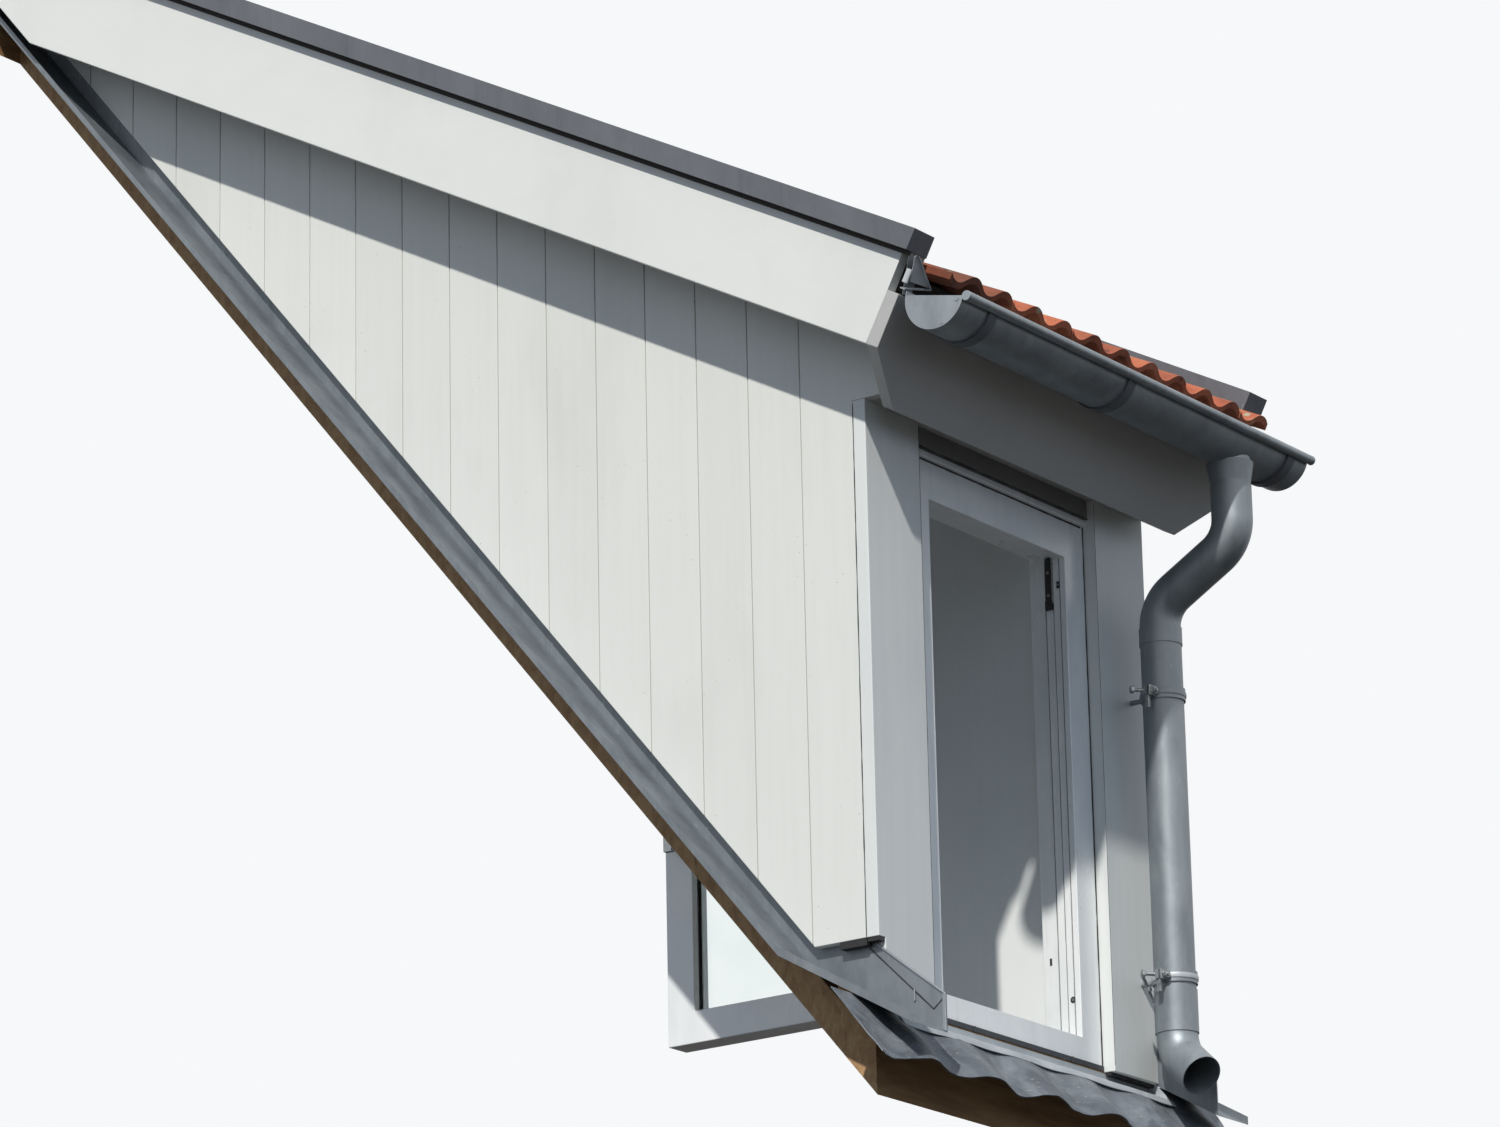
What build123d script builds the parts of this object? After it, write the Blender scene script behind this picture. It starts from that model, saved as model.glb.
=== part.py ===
from build123d import *
import math
import os

# Shed dormer with one window, built on a steep tiled roof.
# Millimetres. X runs along the front, Y runs into the roof, Z is up.
# The origin is the middle of the front trimmer's underside, on the roof's rafters.

# Overall form
front_width = 950.0
main_pitch = 50.0
dormer_pitch = 28.5
face_ahead_of_origin = 60.0
verge_above_soffit = 101.0
verge_overhang = 120.0
eaves_projection = 88.5

# Roof layers, measured square to each slope
main_tile_rise = 134.0
rafter_depth = 85.0
boarding_thickness = 20.0
batten_height = 35.0
batten_width = 50.0
batten_inset = 4.0
tile_course = 340.0
tile_cover = 200.0
tile_thickness = 13.0
tile_wave = 11.0
tile_eaves_overhang = 62.0
tile_lap = 20.0
tile_side_gap = 2.0
covering_clearance = 6.0
fillet_start = 5.0
lay_board_thickness = 30.0
lay_board_width = 220.0

# Walls
cladding_thickness = 20.0
sheet_gap = 1.0
stud_depth = 144.0
stud_width = 60.0
stud_spacing = 590.0
post_depth = 80.0
sole_plate_depth = 60.0
lining_thickness = 12.0
lining_below_rafters = 40.0
corner_board_width = 175.0
corner_board_thickness = 27.0
corner_board_bottom = 129.0
soffit_thickness = 15.0
cladding_front_cut = 244.0
cladding_lift = 95.0
lintel_height = 40.0
lintel_thickness = 12.0
lintel_gap = 2.0

# Front trimmer and head beam
trimmer_depth = 66.0
trimmer_top = 141.0
head_beam_gap = 3.0

# Bargeboards, verge trims and eaves board
barge_thickness = 24.0
barge_height = 205.0
barge_end_lift = 95.0
fascia_thickness = 28.0
fascia_above_fold = 105.0
fascia_below_fold = 92.0
fascia_corner_cut = 112.0
trim_width = 65.0
trim_face = 42.0
trim_projection = 20.0
trim_top_lift = 226.0
trim_front = 22.0

# Window
frame_height = 1077.0
frame_depth = 92.0
frame_hidden_edge = 7.0
frame_jamb = 68.0
frame_sill_rail = 45.0
frame_head = 88.0
rebate_steps = ((0.0, 0.0), (13.0, 4.0), (31.0, 9.0), (51.5, 17.0))
sash_clearance = 2.0
sash_thickness = 56.0
sash_stile = 62.0
glass_thickness = 24.0
glass_bite = 12.0
hinge_inset = 10.0
hinge_radius = 8.0
hinge_length = 70.0
hinge_leaf = 4.0
hinge_wing = 26.0
hinge_from_end = 90.0
hinge_side_gap = 2.0
handle_length = 130.0
handle_projection = 36.0
handle_above = 10.0
handle_grip_width = 18.0
handle_grip_thickness = 12.0
handle_plate_width = 28.0
handle_plate_height = 70.0
handle_plate_thickness = 8.0
drip_height = 12.0
drip_projection = 9.0

# Zinc and lead
zinc_sheet = 1.5
lead_sheet = 2.5
fit_gap = 0.3
gutter_radius = 63.5
gutter_bead_radius = 9.0
gutter_tilt = 13.0
gutter_clearance = 20.0
gutter_end_gap = 12.0
gutter_rear_rise = 8.0
gutter_rise = 18.0
gutter_cap_edge = 4.0
bracket_width = 25.0
bracket_thickness = 4.0
bracket_leg = 120.0
bracket_from_left = 98.0
bracket_from_middle = 35.0
bracket_from_right = 63.0
outlet_from_end = 194.0
pipe_radius = 40.0
pipe_wall = 1.5
pipe_from_face = 73.0
pipe_socket = 31.0
socket_lip = 4.0
socket_gap = 2.0
funnel_height = 40.0
funnel_flare = 6.0
funnel_lap = 4.0
outlet_spigot = 40.0
neck_drop = 255.0
neck_bend_rise = 2.0
neck_angle = 60.0
neck_radius = 76.0
shoe_top = 292.0
shoe_socket = 38.0
shoe_bend_start = 207.0
shoe_angle = 51.0
shoe_turn = 22.0
shoe_radius = 76.0
shoe_tail = 55.0
clip_width = 24.0
clip_thickness = 3.0
clip_below_socket = 136.0
clip_above_shoe = 21.0
clip_ear = 22.0
clip_ear_inset = 3.0
clip_ear_gap = 2.0
clip_stud_radius = 5.0

# Flashings
apron_reach = 165.0
apron_valley = 125.0
apron_wave = 200.0
apron_wave_points = 8
apron_fold_out = 25.0
apron_fold_height = 91.0
apron_back_height = 113.0
apron_side = 150.0
apron_board_gap = 2.0
side_pan_width = 110.0
side_pan_lift = 62.0
side_upstand = 130.0
side_front_reach = 127.0
side_tip_low = 50.0
side_tip_high = 122.0
side_bend_y = 100.0
side_hem = 16.0

# Derived levels and planes
main_slope = math.radians(main_pitch)
roof_slope = math.radians(dormer_pitch)
half_width = front_width / 2
face_y = -face_ahead_of_origin
post_y = face_y + corner_board_thickness
post_back_y = post_y + post_depth
stud_outer = half_width - cladding_thickness - sheet_gap
stud_inner = stud_outer - stud_depth
opening_half = half_width - corner_board_width
barge_outer = half_width + verge_overhang
barge_inner = barge_outer - barge_thickness
boarding_lift = rafter_depth + boarding_thickness
tile_lift = boarding_lift + batten_height
frame_half = opening_half + frame_hidden_edge
frame_bottom = trimmer_top
frame_top = frame_bottom + frame_height
soffit_bottom = frame_top + lintel_height
verge_height_at_face = soffit_bottom + verge_above_soffit
fold_y = face_y - eaves_projection
fold_z = verge_height_at_face - eaves_projection * math.tan(roof_slope)


def main_z(y, lift=0.0):
    """Height of the plane that lies lift above the main roof's rafters."""
    return y * math.tan(main_slope) + lift / math.cos(main_slope)


def roof_z(y, lift=0.0):
    """Height of the plane that lies lift above the dormer rafters' underside."""
    return fold_z + (y - fold_y) * math.tan(roof_slope) + lift / math.cos(roof_slope)


def slope_point(along, lift):
    """Point in the side view: along the dormer's slope from the eaves fold, and square to it."""
    y = fold_y + along * math.cos(roof_slope) - lift * math.sin(roof_slope)
    z = fold_z + along * math.sin(roof_slope) + lift * math.cos(roof_slope)
    return (y, z)


def meet_y(roof_lift, main_lift):
    """Y where a dormer roof plane meets a main roof plane."""
    roof_start = roof_z(0, roof_lift)
    main_start = main_z(0, main_lift)
    return (roof_start - main_start) / (math.tan(main_slope) - math.tan(roof_slope))


def meet_point(roof_lift, main_lift):
    y = meet_y(roof_lift, main_lift)
    return (y, main_z(y, main_lift))


def prism(points, x_low, x_high):
    """Solid with a side view outline, from one X to another."""
    outline = Polyline(*[(x_low, y, z) for y, z in points], close=True)
    return extrude(make_face(outline), amount=x_high - x_low, dir=(1, 0, 0))


def block(x_low, x_high, y_low, y_high, z_low, z_high):
    size = (x_high - x_low, y_high - y_low, z_high - z_low)
    centre = ((x_low + x_high) / 2, (y_low + y_high) / 2, (z_low + z_high) / 2)
    return Pos(*centre) * Box(*size)


def roof_layer(x_low, x_high, along_low, lift_low, lift_high, main_lift):
    """Layer that follows the dormer's slope and is cut off on the main roof."""
    points = [
        slope_point(along_low, lift_low),
        meet_point(lift_low, main_lift),
        meet_point(lift_high, main_lift),
        slope_point(along_low, lift_high),
    ]
    return prism(points, x_low, x_high)


def mirrored(part):
    return mirror(part, about=Plane.YZ)


def pair(parts, name, right_part):
    """Adds a right-hand piece and its mirror image."""
    parts[name + "_right"] = right_part
    parts[name + "_left"] = mirrored(right_part)


parts = {}


# Timber frame on the main roof's rafters
def make_front_trimmer():
    back_y = post_y + trimmer_depth
    points = [
        (post_y, main_z(post_y)),
        (back_y, main_z(back_y)),
        (back_y, trimmer_top),
        (post_y, trimmer_top),
    ]
    return prism(points, -stud_outer, stud_outer)


trimmer_back_y = post_y + trimmer_depth
lay_front_y = meet_y(0, lay_board_thickness)
lay_back_y = lay_front_y + lay_board_width * math.cos(main_slope)


def make_sole_plate():
    points = [
        (trimmer_back_y, main_z(trimmer_back_y)),
        (lay_front_y, main_z(lay_front_y)),
        (lay_front_y, main_z(lay_front_y, lay_board_thickness)),
        meet_point(0, sole_plate_depth),
        (trimmer_back_y, main_z(trimmer_back_y, sole_plate_depth)),
    ]
    return prism(points, stud_inner, stud_outer)


def make_lay_board():
    points = [
        (lay_front_y, main_z(lay_front_y)),
        (lay_back_y, main_z(lay_back_y)),
        (lay_back_y, main_z(lay_back_y, lay_board_thickness)),
        (lay_front_y, main_z(lay_front_y, lay_board_thickness)),
    ]
    return prism(points, -barge_inner, barge_inner)


def make_corner_post():
    """Post on the trimmer, with its back part standing on the sole plate."""
    points = [
        (post_y, trimmer_top),
        (trimmer_back_y, trimmer_top),
        (trimmer_back_y, main_z(trimmer_back_y, sole_plate_depth)),
        (post_back_y, main_z(post_back_y, sole_plate_depth)),
        (post_back_y, roof_z(post_back_y)),
        (post_y, roof_z(post_y)),
    ]
    return prism(points, stud_inner, stud_outer)


def make_head_beam():
    bottom = frame_top + head_beam_gap
    points = [
        (post_y, bottom),
        (post_back_y, bottom),
        (post_back_y, roof_z(post_back_y)),
        (post_y, roof_z(post_y)),
    ]
    return prism(points, -stud_inner, stud_inner)


def make_cheek_studs():
    """Studs between the sole plate and the rafter."""
    studs = Part()
    y = post_back_y + stud_spacing
    last_y = meet_y(0, sole_plate_depth) - stud_width
    while y < last_y:
        points = [
            (y, main_z(y, sole_plate_depth)),
            (y + stud_width, main_z(y + stud_width, sole_plate_depth)),
            (y + stud_width, roof_z(y + stud_width)),
            (y, roof_z(y)),
        ]
        studs += prism(points, stud_inner, stud_outer)
        y += stud_spacing
    return studs


def make_rafters():
    """One rafter over each cheek and one in the middle."""
    rafters = Part()
    for x in (-stud_outer, -stud_width / 2, stud_outer - stud_width):
        rafters += roof_layer(x, x + stud_width, 0, 0, rafter_depth, lay_board_thickness)
    return rafters


parts["front_trimmer"] = make_front_trimmer()
pair(parts, "sole_plate", make_sole_plate())
parts["lay_board"] = make_lay_board()
pair(parts, "corner_post", make_corner_post())
parts["head_beam"] = make_head_beam()
pair(parts, "cheek_studs", make_cheek_studs())
parts["rafters"] = make_rafters()


# Roof covering
def make_roof_boarding():
    return roof_layer(-barge_inner, barge_inner, 0, rafter_depth, boarding_lift, lay_board_thickness)


covering_end_lift = main_tile_rise + covering_clearance
trim_outer = barge_outer + trim_projection
trim_inner = trim_outer - trim_width
tile_half = trim_inner - tile_side_gap
tile_start = -fascia_thickness - tile_eaves_overhang


def make_tile_battens():
    battens = Part()
    along = tile_start + tile_course - batten_width - batten_inset
    top_y = meet_y(tile_lift, covering_end_lift)
    last = (top_y - fold_y) / math.cos(roof_slope)
    while along + batten_width < last:
        points = [
            slope_point(along, boarding_lift),
            slope_point(along + batten_width, boarding_lift),
            slope_point(along + batten_width, tile_lift),
            slope_point(along, tile_lift),
        ]
        battens += prism(points, -barge_inner, barge_inner)
        along += tile_course
    return battens


def tile_underside(along):
    """Lift of the first course's underside, which falls towards its upper end."""
    return tile_lift + tile_thickness * (1 - (along - tile_start) / tile_course)


def make_eaves_fillet():
    """Timber fillet on the bracket legs that carries the first course's lower end."""
    low = fillet_start
    high = low + batten_width
    points = [
        slope_point(low, boarding_lift + bracket_thickness),
        slope_point(high, boarding_lift + bracket_thickness),
        slope_point(high, tile_underside(high) - fit_gap),
        slope_point(low, tile_underside(low) - fit_gap),
    ]
    return prism(points, -barge_inner, barge_inner)


def wave_points(lift):
    """End outline of a tile course in straight runs, two troughs to a tile."""
    count = round(2 * tile_half / (tile_cover / 4))
    half_wave = 2 * tile_half / count
    points = [(-tile_half, lift)]
    for index in range(count):
        left = -tile_half + index * half_wave
        side = 1 if index % 2 else -1
        points.append((left + half_wave / 4, lift + side * tile_wave))
        points.append((left + half_wave * 3 / 4, lift + side * tile_wave))
    points.append((tile_half, lift))
    return points


def make_tile_course(along, length, step):
    """One course, raised at its lower end by the course below."""
    slope = roof_slope - math.asin(step / tile_course)
    low_y, low_z = slope_point(along, tile_lift + tile_wave + step)
    outline = Polyline(*wave_points(0), *reversed(wave_points(tile_thickness)), close=True)
    plane = Plane(
        origin=(0, low_y, low_z),
        x_dir=(1, 0, 0),
        z_dir=(0, -math.cos(slope), -math.sin(slope)),
    )
    return extrude(plane * make_face(outline), amount=-length)


def make_roof_tiles():
    start_y = slope_point(tile_start, tile_lift)[0]
    end_y = meet_y(tile_lift + tile_wave, covering_end_lift)
    courses = int((end_y - start_y) / math.cos(roof_slope) / tile_course) + 1
    tiles = Part()
    for index in range(courses):
        tiles += make_tile_course(tile_start + index * tile_course, tile_course + tile_lap, tile_thickness)
    low_y = start_y - tile_course
    high_y = end_y + tile_course
    top = roof_z(high_y, tile_lift + tile_course)
    above_main_roof = prism(
        [
            (low_y, main_z(low_y, covering_end_lift)),
            (high_y, main_z(high_y, covering_end_lift)),
            (high_y, top),
            (low_y, top),
        ],
        -trim_outer,
        trim_outer,
    )
    return tiles & above_main_roof


parts["roof_boarding"] = make_roof_boarding()
parts["tile_battens"] = make_tile_battens()
parts["eaves_fillet"] = make_eaves_fillet()
parts["roof_tiles"] = make_roof_tiles()


# Bargeboards, verge trims, eaves board and soffit
def make_bargeboard():
    return roof_layer(barge_inner, barge_outer, 0, 0, barge_height, barge_end_lift)


def make_verge_trim():
    """Folded zinc cap over the bargeboard and the edge of the tiles, closed at its front."""
    front = -trim_front
    outer_leg = roof_layer(
        trim_outer - zinc_sheet, trim_outer, front, trim_top_lift - trim_face, trim_top_lift, covering_end_lift
    )
    top = roof_layer(
        trim_inner, trim_outer, front, trim_top_lift - zinc_sheet, trim_top_lift, covering_end_lift
    )
    inner_leg = roof_layer(
        trim_inner, trim_inner + zinc_sheet, front, trim_top_lift - trim_face, trim_top_lift, covering_end_lift
    )
    end_points = [
        slope_point(front, trim_top_lift - trim_face),
        slope_point(front + zinc_sheet, trim_top_lift - trim_face),
        slope_point(front + zinc_sheet, trim_top_lift),
        slope_point(front, trim_top_lift),
    ]
    end = prism(end_points, trim_inner, trim_outer)
    return outer_leg + top + inner_leg + end


def make_verge_batten():
    """Timber on the bargeboard that carries the zinc trim."""
    return roof_layer(
        barge_inner, barge_outer, 0, barge_height, trim_top_lift - zinc_sheet, covering_end_lift
    )


def make_fascia_board():
    """Eaves board square to the slope, with its lower corners cut off."""
    bottom_half = barge_outer - fascia_corner_cut
    outline = Polyline(
        (-barge_outer, fascia_above_fold),
        (-barge_outer, 0),
        (-bottom_half, -fascia_below_fold),
        (bottom_half, -fascia_below_fold),
        (barge_outer, 0),
        (barge_outer, fascia_above_fold),
        close=True,
    )
    plane = Plane(
        origin=(0, fold_y, fold_z),
        x_dir=(1, 0, 0),
        z_dir=(0, -math.cos(roof_slope), -math.sin(roof_slope)),
    )
    return extrude(plane * make_face(outline), amount=fascia_thickness)


def fascia_back_y(z):
    """Y of the eaves board's back at a height."""
    return fold_y - (z - fold_z) * math.tan(roof_slope)


def make_soffit_board():
    top = soffit_bottom + soffit_thickness
    points = [
        (post_y, soffit_bottom),
        (post_y, top),
        (fascia_back_y(top), top),
        (fascia_back_y(soffit_bottom), soffit_bottom),
    ]
    inner = half_width - cladding_thickness
    return prism(points, -inner, inner)


pair(parts, "bargeboard", make_bargeboard())
pair(parts, "verge_batten", make_verge_batten())
pair(parts, "verge_trim", make_verge_trim())
parts["fascia_board"] = make_fascia_board()
parts["soffit_board"] = make_soffit_board()


# Outer cladding and corner boards
def make_cladding():
    inner = half_width - cladding_thickness
    cut_back_y = (cladding_front_cut - main_z(0, cladding_lift)) / math.tan(main_slope)
    points = [
        (post_y, cladding_front_cut),
        (cut_back_y, cladding_front_cut),
        meet_point(rafter_depth, cladding_lift),
        slope_point(0, rafter_depth),
        (fascia_back_y(soffit_bottom), soffit_bottom),
        (post_y, soffit_bottom),
    ]
    return prism(points, inner, half_width)


def make_corner_board():
    """Board with a notch at its outer foot, where the side flashing passes."""
    board = block(opening_half, half_width, face_y, post_y, corner_board_bottom, soffit_bottom)
    notch = block(stud_outer, half_width, face_y, post_y, corner_board_bottom, cladding_front_cut)
    return board - notch


def make_lintel_board():
    return block(
        -opening_half,
        opening_half,
        post_y - lintel_thickness,
        post_y,
        frame_top + lintel_gap,
        soffit_bottom,
    )


pair(parts, "cladding", make_cladding())
pair(parts, "corner_board", make_corner_board())
parts["lintel_board"] = make_lintel_board()


# Inner linings, which start at the window frame's back
frame_front_y = post_y
frame_back_y = frame_front_y + frame_depth


def make_lining():
    """Board beside the room, down past the rafters' plane to the room's own lining."""
    points = [
        (frame_back_y, main_z(frame_back_y, -lining_below_rafters)),
        (lay_front_y, main_z(lay_front_y, -lining_below_rafters)),
        meet_point(0, lay_board_thickness),
        (frame_back_y, roof_z(frame_back_y)),
    ]
    return prism(points, stud_inner - lining_thickness, stud_inner)


def make_ceiling_lining():
    inner = stud_inner - lining_thickness
    top_y = meet_y(0, lay_board_thickness)
    low_y = meet_y(-lining_thickness, lay_board_thickness)
    points = [
        (post_back_y, roof_z(post_back_y)),
        (top_y, roof_z(top_y)),
        (low_y, roof_z(low_y, -lining_thickness)),
        (post_back_y, roof_z(post_back_y, -lining_thickness)),
    ]
    return prism(points, -inner, inner)


pair(parts, "lining", make_lining())
parts["ceiling_lining"] = make_ceiling_lining()


# Window, with its sash standing open into the room
clear_half = opening_half - frame_jamb
clear_bottom = frame_bottom + frame_sill_rail
clear_top = frame_top - frame_head
rebate_depth = rebate_steps[-1][1]


def make_window_frame():
    """Frame with stepped rebates and a drip strip along its head."""
    frame = block(-frame_half, frame_half, frame_front_y, frame_back_y, frame_bottom, frame_top)
    for start, growth in rebate_steps:
        frame -= block(
            -clear_half - growth,
            clear_half + growth,
            frame_front_y + start,
            frame_back_y,
            clear_bottom - growth,
            clear_top + growth,
        )
    drip = block(
        -opening_half,
        opening_half,
        frame_front_y - drip_projection,
        frame_front_y,
        frame_top - drip_height,
        frame_top,
    )
    return frame + drip


sash_half = clear_half + rebate_depth - sash_clearance
sash_bottom = clear_bottom - rebate_depth + sash_clearance
sash_top = clear_top + rebate_depth - sash_clearance
hinge_x = -sash_half - sash_clearance - hinge_radius
hinge_y = frame_back_y + hinge_leaf / 2 + hinge_radius
sash_x = hinge_x + hinge_side_gap
sash_y = hinge_y + hinge_inset


def sash_block(y_low, y_high, z_low, z_high, x_low=0.0, x_high=sash_thickness):
    """Box in the open sash, measured from its hinge edge."""
    return block(sash_x + x_low, sash_x + x_high, sash_y + y_low, sash_y + y_high, z_low, z_high)


def sash_pane_block():
    """The glass with the part of its edge that sits in the sash's groove."""
    width = 2 * sash_half
    edge = sash_stile - glass_bite
    groove_low = (sash_thickness - glass_thickness) / 2
    return sash_block(
        edge, width - edge, sash_bottom + edge, sash_top - edge, groove_low, groove_low + glass_thickness
    )


def make_sash_frame():
    width = 2 * sash_half
    sash = sash_block(0, width, sash_bottom, sash_top)
    sash -= sash_block(sash_stile, width - sash_stile, sash_bottom + sash_stile, sash_top - sash_stile)
    return sash - sash_pane_block()


def make_sash_hinges():
    hinges = Part()
    for z in (sash_bottom + hinge_from_end, sash_top - hinge_from_end - hinge_length):
        top = z + hinge_length
        barrel = Pos(hinge_x, hinge_y, (z + top) / 2) * Cylinder(hinge_radius, hinge_length)
        frame_leaf = block(hinge_x - hinge_wing, hinge_x, frame_back_y, frame_back_y + hinge_leaf, z, top)
        sash_leaf = block(sash_x - hinge_leaf, sash_x, hinge_y, sash_y + hinge_wing, z, top)
        hinges += barrel + frame_leaf + sash_leaf
    return hinges


def make_window_handle():
    """Lever handle on the free stile, on its room side."""
    y = sash_y + 2 * sash_half - sash_stile / 2
    z = (sash_bottom + sash_top) / 2
    plate_x = sash_x - handle_plate_thickness
    grip_x = sash_x - handle_projection
    plate = block(
        plate_x,
        sash_x,
        y - handle_plate_width / 2,
        y + handle_plate_width / 2,
        z - handle_plate_height / 2,
        z + handle_plate_height / 2,
    )
    neck = block(
        grip_x,
        plate_x,
        y - handle_grip_width / 2,
        y + handle_grip_width / 2,
        z - handle_above,
        z + handle_above,
    )
    grip = block(
        grip_x,
        grip_x + handle_grip_thickness,
        y - handle_grip_width / 2,
        y + handle_grip_width / 2,
        z + handle_above - handle_length,
        z + handle_above,
    )
    return plate + neck + grip


parts["window_frame"] = make_window_frame()
parts["sash_frame"] = make_sash_frame()
parts["sash_glass"] = sash_pane_block()
parts["sash_hinges"] = make_sash_hinges()
parts["window_handle"] = make_window_handle()


# Gutter in its brackets
front_normal = (-math.cos(roof_slope), -math.sin(roof_slope))
fascia_front_top = slope_point(-fascia_thickness, fascia_above_fold)
gutter_length = 2 * (trim_outer - gutter_end_gap)
outlet_x = gutter_length / 2 - outlet_from_end
gutter_offset = gutter_clearance + gutter_radius
gutter_y = fascia_front_top[0] + front_normal[0] * gutter_offset - gutter_rise * math.sin(roof_slope)
gutter_z = fascia_front_top[1] + front_normal[1] * gutter_offset + gutter_rise * math.cos(roof_slope)
gutter_plane = Plane(
    origin=(-gutter_length / 2, gutter_y, gutter_z),
    x_dir=(0, math.cos(math.radians(gutter_tilt)), math.sin(math.radians(gutter_tilt))),
    z_dir=(1, 0, 0),
)


gutter_bead_x = -gutter_radius - gutter_bead_radius + zinc_sheet


def gutter_section(outer, inner):
    """Half ring below the gutter's own level line, with the level line as local X."""
    ring = Circle(outer) - Circle(inner)
    return ring & Pos(0, -outer) * Rectangle(4 * outer, 2 * outer)


def make_gutter():
    inner = gutter_radius - zinc_sheet
    section = gutter_section(gutter_radius, inner)
    rear = Pos(gutter_radius - zinc_sheet / 2, gutter_rear_rise / 2) * Rectangle(zinc_sheet, gutter_rear_rise)
    bead = Pos(gutter_bead_x, 0) * (Circle(gutter_bead_radius) - Circle(gutter_bead_radius - zinc_sheet))
    channel = extrude(gutter_plane * (section + rear + bead), amount=gutter_length)
    cap_shape = Circle(gutter_radius) & Pos(0, -gutter_radius) * Rectangle(4 * gutter_radius, 2 * gutter_radius)
    cap_shape += Pos(gutter_bead_x / 2, -gutter_cap_edge / 2) * Rectangle(-gutter_bead_x, gutter_cap_edge)
    cap = extrude(gutter_plane * cap_shape, amount=zinc_sheet)
    far_cap = Pos(gutter_length - zinc_sheet, 0, 0) * cap
    gutter = channel + cap + far_cap
    hole = Pos(outlet_x, gutter_y, gutter_z - gutter_radius) * Cylinder(pipe_radius, gutter_radius)
    return gutter - hole


def make_gutter_brackets():
    """Straps under the gutter, each with a leg that lies on the roof boarding."""
    strap_inner = gutter_radius + fit_gap
    strap_outer = strap_inner + bracket_thickness
    straps = Part()
    leg_low = boarding_lift
    leg_high = leg_low + bracket_thickness
    tilt = math.radians(gutter_tilt)
    rear_inner = (gutter_y + strap_inner * math.cos(tilt), gutter_z + strap_inner * math.sin(tilt))
    rear_outer = (gutter_y + strap_outer * math.cos(tilt), gutter_z + strap_outer * math.sin(tilt))
    edge_low = slope_point(-fascia_thickness, leg_low)
    edge_high = slope_point(-fascia_thickness, leg_high)
    end_low = slope_point(bracket_leg, leg_low)
    end_high = slope_point(bracket_leg, leg_high)
    first_x = bracket_from_left - gutter_length / 2
    last_x = gutter_length / 2 - bracket_from_right
    for x in (first_x, -bracket_from_middle, last_x):
        plane = gutter_plane.offset(x - bracket_width / 2 + gutter_length / 2)
        section = gutter_section(strap_outer, strap_inner)
        section -= Pos(gutter_bead_x, 0) * Circle(gutter_bead_radius + fit_gap)
        strap = extrude(plane * section, amount=bracket_width)
        leg = prism(
            [rear_inner, rear_outer, edge_low, end_low, end_high, edge_high],
            x - bracket_width / 2,
            x + bracket_width / 2,
        )
        straps += strap + leg
    return straps


parts["gutter"] = make_gutter()
parts["gutter_brackets"] = make_gutter_brackets()


# Outlet, swan neck, downpipe, shoe and clips
pipe_y = face_y - pipe_from_face
pipe_inner = pipe_radius - pipe_wall
socket_inner = pipe_radius + fit_gap
socket_outer = socket_inner + pipe_wall
outlet_bottom = gutter_z - gutter_radius - funnel_height
pipe_top = outlet_bottom - neck_drop
pipe_bottom = shoe_top - shoe_socket


def vertical_ring(z_low, z_high, outer, inner):
    """Upright ring round the downpipe's axis."""
    ring = Pos(outlet_x, pipe_y, z_low) * (Circle(outer) - Circle(inner))
    return extrude(ring, amount=z_high - z_low)


def bent_pipe(start, radius, runs):
    """Pipe of straight lengths, each with the turn in degrees that follows it.

    It leaves along the start plane's Z and turns towards the plane's X.
    """
    section = Circle(pipe_radius) - Circle(pipe_inner)
    plane = start
    pipe = Part()
    for length, turn in runs:
        pipe += extrude(plane * section, amount=length)
        plane = plane.offset(length)
        if turn == 0:
            continue
        side = math.copysign(1, turn)
        angle = math.radians(abs(turn))
        centre = plane.origin + plane.x_dir * radius * side
        pipe += revolve(plane * section, Axis(centre, plane.y_dir * side), revolution_arc=abs(turn))
        origin = centre - plane.x_dir * radius * side * math.cos(angle) + plane.z_dir * radius * math.sin(angle)
        heading = plane.z_dir * math.cos(angle) + plane.x_dir * side * math.sin(angle)
        across = plane.x_dir * math.cos(angle) - plane.z_dir * side * math.sin(angle)
        plane = Plane(origin=origin, x_dir=across, z_dir=heading)
    return pipe


def make_outlet_funnel():
    """Funnel under the gutter that ends in a spigot inside the swan neck."""
    spigot_outer = pipe_inner - fit_gap
    spigot_inner = spigot_outer - pipe_wall
    top_outer = pipe_radius + funnel_flare
    funnel_top = gutter_z - gutter_radius + funnel_lap
    profile = Polyline(
        (spigot_inner, outlet_bottom - outlet_spigot),
        (spigot_outer, outlet_bottom - outlet_spigot),
        (spigot_outer, outlet_bottom),
        (top_outer, funnel_top),
        (top_outer - pipe_wall, funnel_top),
        (spigot_inner, outlet_bottom + pipe_wall),
        close=True,
    )
    face = make_face(Plane.XZ * profile)
    funnel = revolve(face, Axis.Z)
    funnel = Pos(outlet_x, gutter_y, 0) * funnel
    inside = extrude(gutter_plane * Circle(gutter_radius + fit_gap), amount=gutter_length)
    return funnel - inside


def make_swan_neck():
    """Two bends that lead the water from the gutter's outlet back to the wall."""
    angle = math.radians(neck_angle)
    bend_height = neck_radius * math.sin(angle)
    sideways = (pipe_y - gutter_y) - 2 * neck_radius * (1 - math.cos(angle))
    slanted = sideways / math.sin(angle)
    low = pipe_top - pipe_socket + socket_gap
    first_bend = pipe_top + neck_bend_rise
    last_bend_end = first_bend + 2 * bend_height + slanted * math.cos(angle)
    start = Plane(origin=(outlet_x, pipe_y, low), x_dir=(0, -1, 0), z_dir=(0, 0, 1))
    runs = [
        (first_bend - low, neck_angle),
        (slanted, -neck_angle),
        (outlet_bottom - socket_gap - last_bend_end, 0),
    ]
    return bent_pipe(start, neck_radius, runs)


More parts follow.
